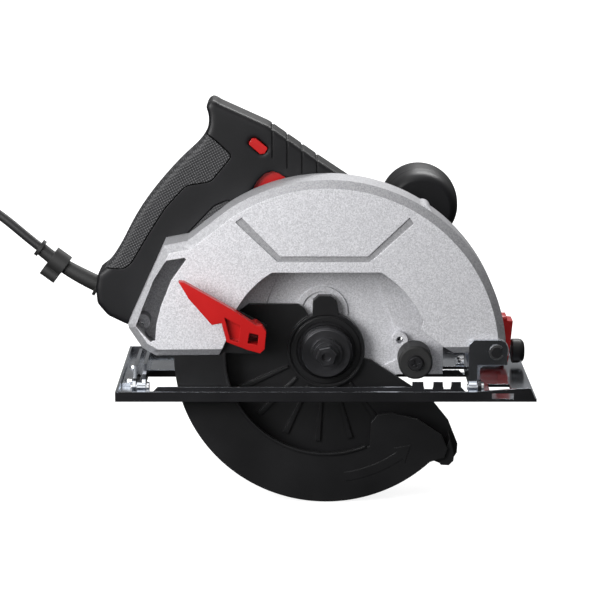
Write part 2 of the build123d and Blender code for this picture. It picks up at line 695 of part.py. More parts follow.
core_slots = 12
with BuildPart() as armature_core:
    with BuildSketch(side(core_far)):
        disc(23.4, motor_axis)
        disc(armature_shaft_radius - running, motor_axis, mode=Mode.SUBTRACT)
        for slot in range(core_slots):
            angle = slot * 360 / core_slots
            sector(13.5, 21.5, angle - 9, angle + 9, motor_axis, mode=Mode.SUBTRACT)
            sector(20, 24, angle - 2.5, angle + 2.5, motor_axis, mode=Mode.SUBTRACT)
    extrude(amount=core_far - core_near)
finish(armature_core, "armature_core")

with BuildPart() as armature_windings:
    with BuildSketch(side(core_far)):
        for slot in range(core_slots):
            angle = slot * 360 / core_slots
            sector(13.7, 21.3, angle - 8.6, angle + 8.6, motor_axis)
    extrude(amount=core_far - core_near)
    for near, far in ((core_near - 7, core_near), (core_far, core_far + 8)):
        with BuildSketch(side(far)):
            disc(21.3, motor_axis)
            disc(armature_shaft_radius + 2.2, motor_axis, mode=Mode.SUBTRACT)
        extrude(amount=far - near)
finish(armature_windings, "armature_windings")

with BuildPart() as commutator:
    with BuildSketch(side(brush_y + 8)):
        disc(commutator_radius, motor_axis)
        disc(armature_shaft_radius - running, motor_axis, mode=Mode.SUBTRACT)
        for bar in range(24):
            sector(commutator_radius - 1.2, commutator_radius + 1, bar * 15 - 0.9, bar * 15 + 0.9, motor_axis,
                   mode=Mode.SUBTRACT)
    extrude(amount=16)
finish(commutator, "commutator")

fan_blades = 9
with BuildPart() as cooling_fan:
    with BuildSketch(side(47)):
        disc(36, motor_axis)
        disc(armature_shaft_radius + 2, motor_axis, mode=Mode.SUBTRACT)
    extrude(amount=2)
    with BuildSketch(side(47)):
        disc(10, motor_axis)
        disc(armature_shaft_radius + 2, motor_axis, mode=Mode.SUBTRACT)
    extrude(amount=9)
    with BuildSketch(side(46)):
        for blade in range(fan_blades):
            angle = blade * 360 / fan_blades
            shape(polar(9, angle - 6, motor_axis), polar(35.5, angle + 8, motor_axis),
                  polar(35.5, angle + 11, motor_axis), polar(9, angle + 6, motor_axis))
    extrude(amount=8)
finish(cooling_fan, "cooling_fan")

# ---- arbor ---------------------------------------------------------------------------------------------------------
flange_radius, flange_boss = 17.0, 10.3
seat_radius = 10.0
with BuildPart() as arbor_shaft:
    with BuildSketch(side(30.5)):
        disc(arbor_core - 2)
    extrude(amount=5)
    with BuildSketch(side(25.8)):
        disc(arbor_core + 2)
    extrude(amount=1.4)
    with BuildSketch(side(24.4)):
        disc(arbor_core)
    extrude(amount=24.4 - 3.0)
    with BuildSketch(side(3.0)):
        disc(arbor_core)
    extrude(amount=3.0 + blade_gap / 2 + 1.6)
    with BuildSketch(side(20)):
        disc(2.6)
    extrude(amount=24, mode=Mode.SUBTRACT)
finish(arbor_shaft, "arbor_shaft")

with BuildPart() as drive_gear:
    mesh_angle = degrees(atan2(motor_z, motor_x))
    with BuildSketch(side(24.2)):
        Polygon(*gear_outline(gear_teeth, mesh_angle, 0.62, 0.4, 0.18), align=None)
        disc(arbor_core, mode=Mode.SUBTRACT)
    extrude(amount=6.2)
    with BuildSketch(side(24.2)):
        disc(15.5)
        disc(10, mode=Mode.SUBTRACT)
    extrude(amount=1.5, mode=Mode.SUBTRACT)
finish(drive_gear, "drive_gear")

with BuildPart() as inner_flange:
    with BuildSketch(side(3.4)):
        disc(flange_radius)
        disc(arbor_core, mode=Mode.SUBTRACT)
    extrude(amount=3.4 - blade_gap / 2)
    with BuildSketch(side(blade_gap / 2)):
        disc(seat_radius)
        disc(arbor_core, mode=Mode.SUBTRACT)
    extrude(amount=blade_gap)
    with BuildSketch(side(blade_gap / 2 + 0.6)):
        disc(14.5)
        disc(seat_radius, mode=Mode.SUBTRACT)
    extrude(amount=0.6, mode=Mode.SUBTRACT)
finish(inner_flange, "inner_flange")

outer_face = -blade_gap / 2
with BuildPart() as outer_flange:
    with BuildSketch(side(outer_face)):
        disc(flange_radius)
    extrude(amount=2.4)
    with BuildSketch(side(outer_face - 2.4)):
        disc(flange_radius)
    extrude(amount=1.6, taper=45)
    with BuildSketch(side(outer_face - 2.0)):
        disc(flange_boss)
    extrude(amount=4.6)
    with BuildSketch(side(outer_face - 4.0)):
        disc(flange_boss + 2.2)
        disc(flange_boss, mode=Mode.SUBTRACT)
    extrude(amount=1, mode=Mode.SUBTRACT)
    with BuildSketch(side(outer_face)):
        disc(arbor_core + 0.02)
    extrude(amount=1.7, mode=Mode.SUBTRACT)
    with BuildSketch(side(outer_face)):
        disc(4.1)
    extrude(amount=8, mode=Mode.SUBTRACT)
finish(outer_flange, "outer_flange")

hex_across = 12.0
washer_face = outer_face - 6.6
with BuildPart() as blade_bolt:
    with BuildSketch(side(washer_face)):
        disc(8.2)
    extrude(amount=1.4)
    with BuildSketch(side(washer_face - 1.4)):
        RegularPolygon(hex_across / 2, 6, major_radius=False, rotation=12)
    extrude(amount=4.6)
    chamfer(blade_bolt.faces().sort_by(Axis.Y)[0].edges(), 0.6)
    with BuildSketch(side(washer_face - 4.0)):
        disc(3.0)
    extrude(amount=2.2, mode=Mode.SUBTRACT)
    with BuildSketch(side(outer_face - 1.6)):
        disc(4.0)
    extrude(amount=5.1)
    with BuildSketch(side(14)):
        disc(2.6)
    extrude(amount=17)
finish(blade_bolt, "blade_bolt")

# ---- lower guard -----------------------------------------------------------------------------------------------------
near_low, near_high = -11.5, -9.5
far_low, far_high = 7.3, 9.3
bead_face = -12.6  # raised edge of the band, just clear of the cover's panel
lever_spots = [(-48.3, 20.5), (-46.0, 14.2)]
lever_rivet = 1.6
nose_lip = [(56.6, -25.6), (70.5, -36), (80, -48), (86.3, -64), (86, -70), (82.6, -75.5), (78, -77.6), (74, -77),
            (62, -72), (50, -55), (52, -30)]
guard_arm = [(0, 0), (-60, 5), (-58, 24), (-50, 30), (-18, 30), (-14, 27)]
nose_band = [(28, -62), (28.9, -44), (33, -39), (41.4, -37.7), (58.8, -42), (74.5, -52.8), (78.5, -61.8),
             (76.5, -68), (64, -71.5)]
with BuildPart() as lower_guard:
    # wall on the motor's side, with its hub
    with BuildSketch(side(far_high)):
        sector(22, guard_radius, 165, 318)
        shape((0, 0), (29.5, -7.5), (56.6, -25.6), (50, -60), (0, -40))
        shape(*guard_arm)
        shape(*nose_lip)
        disc(25)
    extrude(amount=far_high - far_low)
    with BuildSketch(side(far_high)):
        disc(25)
        shape((-9, 20), (9, 20), (6.5, 33), (3, 36), (-5, 36), (-8.5, 33))
    extrude(amount=far_high - 3.6)
    # rim
    with BuildSketch(side(far_low)):
        sector(guard_radius - 2.2, guard_radius, 165, 318)
    extrude(amount=far_low - near_high)
    with BuildSketch(side(far_low + 0.5)):
        shape((68.5, -66), (74.5, -73.2), (79.5, -73.5), (82.5, -70.5), (83, -66), (80, -55), (78.5, -60),
              (77, -67.5), (73, -69), (70, -63.5))
    extrude(amount=far_low + 0.5 - near_high)
    # band on the open side
    with BuildSketch(side(near_high)):
        sector(band_radius, guard_radius, 171.5, 314)
        shape(*nose_band)
        sector(43, band_radius + 1, 152, 178)
    extrude(amount=near_high - near_low)
    with BuildSketch(side(near_high)):
        sector(band_radius - 1.6, band_radius, 178, 293)
    extrude(amount=near_high - bead_face)
    with BuildSketch(side(far_low)):
        for rib in range(6):
            angle = 205 + rib * 20
            sector(27, 62, angle - 1.6, angle + 1.6)
    extrude(amount=1.6)
    with BuildSketch(side(far_high + 1)):
        disc(pivot_radius + running)
    extrude(amount=far_high + 2, mode=Mode.SUBTRACT)
    with BuildSketch(side(4.4)):
        disc(23.4)
        disc(22.2, mode=Mode.SUBTRACT)
    extrude(amount=0.8, mode=Mode.SUBTRACT)
    with BuildSketch(side(near_high)):
        for spot in lever_spots:
            disc(lever_rivet, spot)
    extrude(amount=near_high - near_low, mode=Mode.SUBTRACT)
finish(lower_guard, "lower_guard")

lever_near, lever_far = -34.0, -28.0
rivet_reach = 2.5  # length of a rivet inside the lever's foot
with BuildPart() as guard_lever:
    with BuildSketch(side(lever_far)):
        shape((-92.6, 53.7), (-89.2, 53.3), (-58.4, 35.3), (-44.4, 25.7), (-40.6, 25.4), (-38.1, 21.5),
              (-39.1, 10.6), (-41.9, 7.7), (-50, 10), (-62.9, 15.1), (-66, 27.3), (-72, 26), (-86.4, 42.9))
    extrude(amount=lever_far - lever_near)
    with BuildSketch(side(near_low)):
        shape((-49.3, 23.8), (-44.4, 24.5), (-41.5, 22), (-42.5, 11), (-50, 12.5), (-52.8, 14))
    extrude(amount=near_low - lever_far)
    with BuildSketch(side(near_low - 4.5)):
        shape((-48.6, 20.9), (-42.9, 19.6), (-43.6, 12.9), (-49.8, 14.2))
    extrude(amount=near_low - 4.5 - lever_near + 1, mode=Mode.SUBTRACT)
    with BuildSketch(side(lever_near + 4.4)):
        shape((-64.1, 30.8), (-54, 25.2), (-55.5, 14.6), (-60.7, 16.4))
    extrude(amount=6, mode=Mode.SUBTRACT)
    with BuildSketch(side(near_low)):
        for spot in lever_spots:
            disc(lever_rivet, spot)
    extrude(amount=rivet_reach, mode=Mode.SUBTRACT)
finish(guard_lever, "guard_lever")

with BuildPart() as lever_rivets:
    for spot in lever_spots:
        with BuildSketch(side(near_high)):
            disc(lever_rivet, spot)
        extrude(amount=near_high - near_low + rivet_reach)
        with BuildSketch(side(near_high + 1.0)):
            disc(2.8, spot)
        extrude(amount=1.0)
finish(lever_rivets, "lever_rivets")

# ---- small parts of the gear housing ----------------------------------------------------------------------------------
with BuildPart() as cover_screws:
    for spot in cover_screw_spots:
        with BuildSketch(side(12)):
            disc(screw_radius, spot)
        extrude(amount=19)
        with BuildSketch(side(wall_far - 0.1)):
            disc(3.6, spot)
        extrude(amount=wall_far - 0.1 - 12)
finish(cover_screws, "cover_screws")

with BuildPart() as guard_bumper:
    with BuildSketch(side(wall_near - 5.5)):
        disc(11.0, bumper_spot)
        disc(2.5, bumper_spot, mode=Mode.SUBTRACT)
    extrude(amount=wall_near - 5.5 + 10.0)
    chamfer(guard_bumper.edges().filter_by(GeomType.CIRCLE).sort_by(Axis.Y)[:1], 1.2)
finish(guard_bumper, "guard_bumper")

with BuildPart() as bumper_screw:
    with BuildSketch(side(wall_far)):
        disc(2.5, bumper_spot)
    extrude(amount=wall_far + 10.0)
    with BuildSketch(side(-10.0)):
        disc(5.2, bumper_spot)
    extrude(amount=2.4, taper=20)
    with BuildSketch(side(-11.4)):
        with Locations(bumper_spot):
            Rectangle(5.4, 1.2, rotation=20)
            Rectangle(1.2, 5.4, rotation=20)
    extrude(amount=2.0, mode=Mode.SUBTRACT)
finish(bumper_screw, "bumper_screw")

spring_turns, spring_pitch = 2, 0.65
with BuildPart() as guard_spring:
    with BuildLine() as spring_path:
        Helix(pitch=spring_pitch, height=spring_pitch * spring_turns, radius=21.5, center=(0, 11.1, 0),
              direction=(0, -1, 0))
    with BuildSketch(Plane(origin=spring_path.line @ 0, z_dir=spring_path.line % 0)):
        Circle(0.25)
    sweep()
finish(guard_spring, "guard_spring")

# ---- cord -----------------------------------------------------------------------------------------------------------------
cord_y = handle_mid_y
cord_route = [(-150, 30, 38.6), (-166, 30, 47), (-188, 30, 63.5), (-214, 30, 86.5), (-243, 31, 104),
              (-276, 33, 98), (-297, 36, 63), (-304, 38.5, 16), (-307, 38, -32), (-312, 35.5, -58),
              (-322, 25.5, -80), (-332, 8.5, -92.5), (-338.5, -11, -95), (-340, -29, -95)]
coil_centre, coil_outer, coil_inner, coil_height = (-301.0, -22.0), 42.0, 24.0, 18.0


def turn_radii(points):
    """The largest tangent arc at each corner of a route that its two runs allow."""
    vectors = [Vector(*point) for point in points]
    radii = []
    for before, corner, after in zip(vectors, vectors[1:], vectors[2:]):
        turn = (corner - before).get_angle(after - corner)
        shorter = min((corner - before).length, (after - corner).length)
        radii.append(0.45 * shorter / tan(radians(turn / 2)))
    return radii


cord_radii = turn_radii(cord_route)
print("cord bend radii", [round(radius) for radius in cord_radii])
with BuildPart() as power_cord:
    with BuildLine() as cord_path:
        FilletPolyline(*cord_route, radius=cord_radii)
    with BuildSketch(Plane(origin=cord_path.line @ 0, z_dir=cord_path.line % 0)):
        Circle(cord_radius)
    sweep()
tube_length = sum(edge.length for edge in cord_path.edges())
print("cord tube length", round(tube_length), "volume", round(power_cord.part.volume),
      "section x length", round(pi * cord_radius**2 * tube_length))
finish(power_cord, "power_cord")

with BuildPart() as cord_coil:
    with BuildSketch(Plane.XY.offset(floor_z)):
        with Locations(coil_centre):
            Circle(coil_outer)
            Circle(coil_inner, mode=Mode.SUBTRACT)
    extrude(amount=coil_height)
    fillet(cord_coil.edges().filter_by(GeomType.CIRCLE), 4)
finish(cord_coil, "cord_coil")

# The relief is lofted through rings square to the cord, and the cord's own tube is its bore.
relief_rings = [((-140.0, 33.8), 33.0, 5.0), ((-150.0, 38.6), 31.0, 5.4), ((-167.0, 47.8), 32.5, 4.9),
                ((-186.5, 62.4), 37.0, 4.3)]
relief_seat = Plane(origin=(-149.6, cord_y, 38.4), z_dir=(-0.87, 0, 0.49))
with BuildPart() as strain_relief:
    for (ring_x, ring_z), rise, radius in relief_rings:
        direction = Vector(-cos(radians(rise)), 0, sin(radians(rise)))
        with BuildSketch(Plane(origin=(ring_x, cord_y, ring_z), z_dir=direction)):
            Circle(radius)
    loft()
    with BuildSketch(Plane(origin=(-185.3, cord_y, 61.5), z_dir=(-0.8, 0, 0.6))):
        Circle(5.8)
    extrude(amount=2.4)
    with BuildSketch(relief_seat):
        Circle(8.0)
    extrude(amount=-2.0)
    add(power_cord.part, mode=Mode.SUBTRACT)
finish(strain_relief, "strain_relief")

# ---- handle ------------------------------------------------------------------------------------------------------------
grip_back = [(-76.8, 156.0), (-75.0, 149.0), (-78.5, 136.5), (-89.3, 125.0), (-103.0, 110.9), (-115.6, 95.4),
             (-125.6, 80.0), (-133.1, 65.8), (-141.5, 53.0)]
handle_foot = [(-147.8, 48.2), (-149.6, 38), (-148.6, 28), (-142, 20), (-130.6, 14.4)]
handle_front = [(-116, 9.6), (-60, 2), (-30, 4), (20, 50), (42, 80), (34, 94), (17.6, 107), (-6.9, 123.4),
                (-36.9, 144.5), (-68, 158.6)]
loop_points = [(-23, 107), (-28.7, 111.5), (-35, 114), (-40, 112), (-47, 102), (-62, 84), (-78, 64), (-88, 46),
               (-86, 36), (-70, 31), (-54, 36), (-47, 52), (-36, 66), (-20, 77), (-10, 87), (-12, 98)]
shell_gap = 0.3

with BuildSketch() as handle_outline:
    with BuildLine():
        Spline(*grip_back)
        Polyline(grip_back[-1], *handle_foot, *handle_front)
        Spline(handle_front[-1], (-73.4, 160.6), grip_back[0])
    make_face()
    fillet([corner for corner in handle_outline.vertices() if corner.Y < 60 and corner.X < -125], 3)
    disc(44 + shell_gap, motor_axis, mode=Mode.SUBTRACT)

with BuildSketch() as finger_loop:
    with BuildLine():
        Spline(*loop_points, periodic=True)
    make_face()

with BuildSketch() as hollow:
    with BuildSketch() as inset_outline:
        shape(*grip_back, *handle_foot, *handle_front)
        disc(44 + shell_gap, motor_axis, mode=Mode.SUBTRACT)
        offset(amount=-wall - 0.8, mode=Mode.REPLACE)
    with BuildSketch(mode=Mode.SUBTRACT) as loop_wall:
        shape(*loop_points)
        offset(amount=wall + 0.3, mode=Mode.REPLACE)

with BuildPart() as handle_shell:
    with BuildSketch(side(handle_far_y)):
        add(handle_outline.sketch)
        add(finger_loop.sketch, mode=Mode.SUBTRACT)
    extrude(amount=handle_far_y - handle_near_y)
    fillet([edge for face in handle_shell.faces().filter_by(Axis.Y) for edge in face.edges()], 3)
    with BuildSketch(side(handle_far_y - wall)):
        add(hollow.sketch)
    extrude(amount=handle_far_y - handle_near_y - 2 * wall, mode=Mode.SUBTRACT)

grip_patch = [(-60.3, 125.2), (-73.9, 108.5), (-90.1, 105.9), (-103.7, 91.2), (-116, 71.9), (-125.8, 55.3),
              (-131, 51.3), (-160, 53), (-140, 110), (-90, 150), (-70, 134.5)]
finger_patch = [(-98, 60), (-90, 74), (-72, 93), (-62, 97), (-56, 90), (-74, 64), (-84, 48), (-92, 46)]
with BuildSketch() as grip_patches:
    shape(*grip_patch)
    shape(*finger_patch)
    fillet(grip_patches.vertices().filter_by_position(Axis.X, -135, -50), 3)

trigger_pivot = (-29.0, 116.5)
trigger_room = [(-19, 112), (-29, 120.5), (-44, 118), (-58, 103), (-64, 95), (-58, 84), (-47, 95), (-36, 108),
                (-24, 106)]
lock_outline = [(-49.8, 133.2), (-47.4, 136.6), (-44.9, 136.6), (-37.4, 130.4), (-39.6, 126.9), (-42.4, 126.6)]
lock_button_round, lock_button_proud = 0.9, 1.4
handle_screw_spots = [(-134, 23), (-64, 146), (30, 86), (-78, 17), (-8, 110)]
depth_clamp = polar(clamp_radius, 180 - clamp_angle, depth_axis)
groove_x = [-34.5, -25.0, -15.5, -6.0]
top_slope = (123.4 - 144.5) / (36.9 - 6.9)


def trim_shell(near, far, label):
    """One moulding of the handle, cut from the whole shell between two depths."""
    with BuildPart() as half:
        add(handle_shell.part)
        with BuildSketch(side(far)) as keep:
            shape((-160, -10), (60, -10), (60, 170), (-160, 170))
        extrude(keep.sketch, amount=far - near, mode=Mode.INTERSECT)
        with BuildSketch(side(handle_far_y + 1)) as patch:
            add(grip_patches.sketch)
        extrude(patch.sketch, amount=handle_far_y - handle_near_y + 2, mode=Mode.SUBTRACT)
        with BuildSketch(side(handle_far_y - wall)) as room:
            shape(*trigger_room)
        extrude(room.sketch, amount=handle_far_y - handle_near_y - 2 * wall, mode=Mode.SUBTRACT)
        with BuildSketch(side(handle_far_y + 1)) as holes:
            shape(*lock_outline)
            offset(amount=0.3, mode=Mode.REPLACE)
        extrude(holes.sketch, amount=handle_far_y - handle_near_y + 2, mode=Mode.SUBTRACT)
        with BuildSketch(side(handle_far_y + 1)) as bolt_hole:
            disc(4.0, depth_clamp)
        extrude(bolt_hole.sketch, amount=6, mode=Mode.SUBTRACT)
        with BuildSketch(side(handle_far_y - wall + 0.4)) as posts:
            for spot in handle_screw_spots:
                disc(4.0, spot)
        extrude(posts.sketch, amount=handle_far_y - handle_near_y - 2 * wall + 0.8)
        add(strain_relief.part, mode=Mode.SUBTRACT)
        with BuildSketch(relief_seat) as mouth:
            Circle(6.2)
        extrude(mouth.sketch, amount=8, mode=Mode.SUBTRACT)
        with BuildSketch(side(far)) as keep_again:
            shape((-160, -10), (60, -10), (60, 170), (-160, 170))
        extrude(keep_again.sketch, amount=far - near, mode=Mode.INTERSECT)
        with BuildSketch(side(handle_far_y + 1)) as bores:
            for spot in handle_screw_spots:
                disc(1.8, spot)
        extrude(bores.sketch, amount=handle_far_y - 19, mode=Mode.SUBTRACT)
        with BuildSketch(side(handle_far_y + 1)) as heads:
            for spot in handle_screw_spots:
                disc(3.4, spot)
        extrude(heads.sketch, amount=2.6, mode=Mode.SUBTRACT)
        with BuildSketch(side(handle_far_y + 1)) as grooves:
            for start in groove_x:
                top = 144.5 + top_slope * (start + 36.9)
                shape((start - 1.4, top + 2), (start + 1.4, top + 2), (start, top - 1.6))
        extrude(grooves.sketch, amount=handle_far_y - handle_near_y + 2, mode=Mode.SUBTRACT)
        with BuildSketch(side(handle_near_y + 0.8)) as lines:
            for start in groove_x:
                top = 144.5 + top_slope * (start + 36.9)
                shape((start - 0.5, top), (start + 0.5, top), (start + 0.5, top - 19), (start - 0.5, top - 19))
        extrude(lines.sketch, amount=2, mode=Mode.SUBTRACT)
    finish(half, label)
    return half


handle_near = trim_shell(handle_near_y, handle_mid_y, "handle_near")
handle_far = trim_shell(handle_mid_y, handle_far_y, "handle_far")

with BuildPart() as grip_overmold:
    add(handle_shell.part)
    with BuildSketch(side(handle_far_y + 1)):
        add(grip_patches.sketch)
    extrude(amount=handle_far_y - handle_near_y + 2, mode=Mode.INTERSECT)
finish(grip_overmold, "grip_overmold")

with BuildPart() as handle_screws:
    for spot in handle_screw_spots:
        with BuildSketch(side(handle_far_y - 1.6)):
            disc(1.8, spot)
        extrude(amount=handle_far_y - 1.6 - 20)
        with BuildSketch(side(handle_far_y - 0.2)):
            disc(3.2, spot)
        extrude(amount=1.4)
finish(handle_screws, "handle_screws")

with BuildPart() as trigger:
    with BuildSketch(side(handle_mid_y + 10)):
        with BuildLine():
            Polyline((-24.5, 107.5), (-24, 112), (-27, 116.5), (-34, 118), (-42, 114), (-52, 101.5), (-56, 96),
                     (-52, 91.5))
            Spline((-52, 91.5), (-43.5, 98.5), (-36.5, 105.2), (-30.5, 108.2), (-24.5, 107.5))
        make_face()
        disc(1.6, trigger_pivot, mode=Mode.SUBTRACT)
    extrude(amount=20)
    fillet(trigger.edges().filter_by(Axis.Y).group_by(Axis.Z)[0], 1.5)
finish(trigger, "trigger")

with BuildPart() as lock_button:
    with BuildSketch(side(handle_far_y - lock_button_proud)):
        shape(*lock_outline)
        fillet(vertices(), lock_button_round)
    extrude(amount=handle_far_y - handle_near_y)
finish(lock_button, "lock_button")

switch_size = (16.0, 22.0, 26.0)
with BuildPart() as switch:
    with BuildSketch(Plane(origin=(-60.5, handle_mid_y, 117.5), x_dir=(cos(radians(40)), 0, sin(radians(40))),
                           z_dir=(0, -1, 0))):
        Rectangle(switch_size[0], switch_size[2])
    extrude(amount=switch_size[1] / 2, both=True)
finish(switch, "switch")

# ---- depth lock -----------------------------------------------------------------------------------------------------------
with BuildPart() as depth_lock_bolt:
    with BuildSketch(side(quadrant_y + 14)):
        disc(3.0 - running, depth_clamp)
    extrude(amount=quadrant_y + 14 - 41)
    with BuildSketch(side(42.4)):
        disc(6.0, depth_clamp)
    extrude(amount=2.2)
finish(depth_lock_bolt, "depth_lock_bolt")

with BuildPart() as depth_lock_lever:
    with BuildSketch(side(quadrant_y + 12)):
        disc(9.0, depth_clamp)
        shape((depth_clamp[0] - 6, depth_clamp[1]), (depth_clamp[0] + 6, depth_clamp[1]),
              (depth_clamp[0] + 30, depth_clamp[1] + 38), (depth_clamp[0] + 20, depth_clamp[1] + 43))
    extrude(amount=8.8)
    with BuildSketch(side(quadrant_y + 12)):
        disc(3.0, depth_clamp)
    extrude(amount=8.8, mode=Mode.SUBTRACT)
finish(depth_lock_lever, "depth_lock_lever")

# ---- spindle lock ---------------------------------------------------------------------------------------------------------
with BuildPart() as spindle_lock:
    with BuildSketch(across(24.8)):
        disc(lock_pin, (lock_pin_y, lock_pin_z))
    extrude(amount=20)
    with BuildSketch(across(44.8)):
        disc(6.5, (lock_pin_y, lock_pin_z))
    extrude(amount=4)
finish(spindle_lock, "spindle_lock")

# ---- front knob -----------------------------------------------------------------------------------------------------------
knob_x, knob_z = 61.8, 87.0
knob_seam = 48.0
knob_rings = [(35.0, 19.0), (36.2, 21.2), (39.5, 23.2), (knob_seam, 24.9), (60.0, 25.6), (72.0, 25.0),
              (82.0, 22.0), (88.0, 16.5), (90.0, 9.0)]


def knob_profile(rings):
    """Half section of the knob in the current sketch: x is the radius, y the depth."""
    with BuildLine() as edge:
        Spline(*[(radius, depth) for depth, radius in rings])
        Polyline((rings[-1][1], rings[-1][0]), (0, rings[-1][0]), (0, rings[0][0]), (rings[0][1], rings[0][0]))
    make_face(edge.edges())


knob_plane = Plane(origin=(knob_x, 0, knob_z), x_dir=(1, 0, 0), z_dir=(0, 0, 1))
knob_axis = Axis((knob_x, 0, knob_z), (0, 1, 0))
handle_room = [(30, 60), (42.6, 60), (42.6, 88), (38, 96), (30, 100)]
arm_room = [(16, 60), (34, 46), (66, 74), (64, 92), (50, 92)]
with BuildPart() as knob_cap:
    with BuildSketch(knob_plane):
        knob_profile(knob_rings[:4])
    revolve(axis=knob_axis)
    with BuildSketch(side(knob_seam + 1)):
        shape(*handle_room)
    extrude(amount=knob_seam + 1 - knob_rings[0][0] + 1, mode=Mode.SUBTRACT)
finish(knob_cap, "knob_cap")

with BuildPart() as front_knob:
    with BuildSketch(knob_plane):
        knob_profile(knob_rings[3:])
    revolve(axis=knob_axis)
    with BuildSketch(side(82)):
        shape(*arm_room)
    extrude(amount=26, mode=Mode.SUBTRACT)
finish(front_knob, "front_knob")

# ---- key holder and plug -----------------------------------------------------------------------------------
holder_drop = 9.6
with BuildPart() as key_holder:
    with BuildSketch(Plane(origin=(-170.0, cord_y, 50.1), x_dir=(0.6, 0, 0.8), z_dir=(-0.8, 0, 0.6))):
        Circle(7.2)
        with Locations((-holder_drop, 0)):
            Circle(4.4)
        with Locations((-holder_drop / 2, 0)):
            Rectangle(holder_drop, 5)
        with Locations((-holder_drop, 0)):
            Circle(2.7, mode=Mode.SUBTRACT)
    extrude(amount=11)
    add(strain_relief.part, mode=Mode.SUBTRACT)
    add(power_cord.part, mode=Mode.SUBTRACT)
finish(key_holder, "key_holder")

plug_x, plug_z = -270.0, floor_z + coil_height + 7.0
plug_back, plug_front, pin_end = -30.0, 8.0, 27.0
with BuildPart() as plug_body:
    with BuildSketch(Plane(origin=(plug_x, plug_back, plug_z), x_dir=(1, 0, 0), z_dir=(0, 1, 0))):
        RectangleRounded(15, 10, 4.5)
    with BuildSketch(Plane(origin=(plug_x, plug_back + 22, plug_z), x_dir=(1, 0, 0), z_dir=(0, 1, 0))):
        RectangleRounded(30, 14, 4.5)
    with BuildSketch(Plane(origin=(plug_x, plug_front, plug_z), x_dir=(1, 0, 0), z_dir=(0, 1, 0))):
        RectangleRounded(33, 13.6, 4.5)
    loft(ruled=True)
finish(plug_body, "plug_body")

with BuildPart() as plug_pins:
    for offset_x in (-9.5, 9.5):
        with BuildSketch(Plane(origin=(plug_x + offset_x, plug_front, plug_z), x_dir=(1, 0, 0), z_dir=(0, 1, 0))):
            Circle(2.4)
        extrude(amount=pin_end - plug_front)
    chamfer(plug_pins.faces().group_by(Axis.Y)[-1].edges(), 0.8)
finish(plug_pins, "plug_pins")
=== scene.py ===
"""Looks of the circular saw, in the CAD model's own frame.

Metres, +X front, +Y towards the motor, +Z up. The origin is the blade seat's centre.
"""
import json
import math

import bmesh
import bpy
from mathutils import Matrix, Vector


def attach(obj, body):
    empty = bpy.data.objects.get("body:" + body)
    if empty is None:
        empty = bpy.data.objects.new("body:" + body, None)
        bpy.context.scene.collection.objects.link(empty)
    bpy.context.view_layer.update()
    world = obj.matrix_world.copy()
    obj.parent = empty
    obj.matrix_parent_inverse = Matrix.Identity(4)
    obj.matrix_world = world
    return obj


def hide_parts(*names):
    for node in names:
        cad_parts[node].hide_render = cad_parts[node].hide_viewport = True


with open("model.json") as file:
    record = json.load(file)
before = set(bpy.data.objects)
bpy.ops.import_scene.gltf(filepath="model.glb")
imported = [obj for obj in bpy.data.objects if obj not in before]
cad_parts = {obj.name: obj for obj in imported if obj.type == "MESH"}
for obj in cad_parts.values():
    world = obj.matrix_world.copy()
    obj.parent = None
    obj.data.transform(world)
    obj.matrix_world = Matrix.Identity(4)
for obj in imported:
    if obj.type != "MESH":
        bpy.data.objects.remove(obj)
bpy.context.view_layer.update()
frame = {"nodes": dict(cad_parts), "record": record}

nodes = frame["nodes"]
MM = 0.001
ALL_ALIKE = (1, 1, 1)  # a scale that changes nothing


def mm(*values):
    """A vector in metres from millimetres."""
    return Vector([value * MM for value in values])


def link(data, name):
    """A new object with this data, in the scene."""
    made = bpy.data.objects.new(name, data)
    bpy.context.scene.collection.objects.link(made)
    return made


def facing(direction):
    """Turn that makes a camera or lamp look against this direction, with its top up."""
    return Vector(direction).to_track_quat("Z", "Y").to_euler()


# ---- camera and light ------------------------------------------------------------------------
TARGET = mm(-16.9, 0, 34.3)
DISTANCE, ELEVATION = 1.3, math.radians(13.0)
PICTURE_WIDTH = 0.3846  # metres across the picture at the target
SENSOR_WIDTH = 36

camera = link(bpy.data.cameras.new("camera"), "camera")
away = Vector((0, -math.cos(ELEVATION), math.sin(ELEVATION)))
camera.location = TARGET + DISTANCE * away
camera.rotation_euler = facing(away)
camera.data.sensor_width = SENSOR_WIDTH
camera.data.lens = SENSOR_WIDTH * DISTANCE / PICTURE_WIDTH
camera.data.clip_start, camera.data.clip_end = 0.05, 50
bpy.context.scene.camera = camera


def softbox(name, place, size, power, aim=(0, 0, 0.03)):
    """A rectangular lamp at a place, size in metres and power in watts, aimed at a point."""
    lamp = bpy.data.lights.new(name, "AREA")
    lamp.shape = "RECTANGLE"
    lamp.size, lamp.size_y = size
    lamp.energy = power
    box = link(lamp, name)
    box.location = place
    box.rotation_euler = facing(Vector(place) - Vector(aim))


# The key stands close on the left, so the silver panel darkens to the right as in the photo.
softbox("key_softbox", (-0.46, -0.5, 0.28), (0.4, 0.4), 5.9, aim=(-0.15, 0, 0.05))
softbox("front_softbox", (-0.15, -1.75, 0.42), (0.8, 0.6), 2.5)
softbox("rear_softbox", (0.5, 1.5, 1.7), (1.4, 0.8), 40)

sky = bpy.data.lights.new("overhead", "SUN")
sky.energy, sky.angle = 0.95, math.radians(60)
overhead = link(sky, "overhead")
overhead.rotation_euler = facing((-0.25, -0.15, 1))

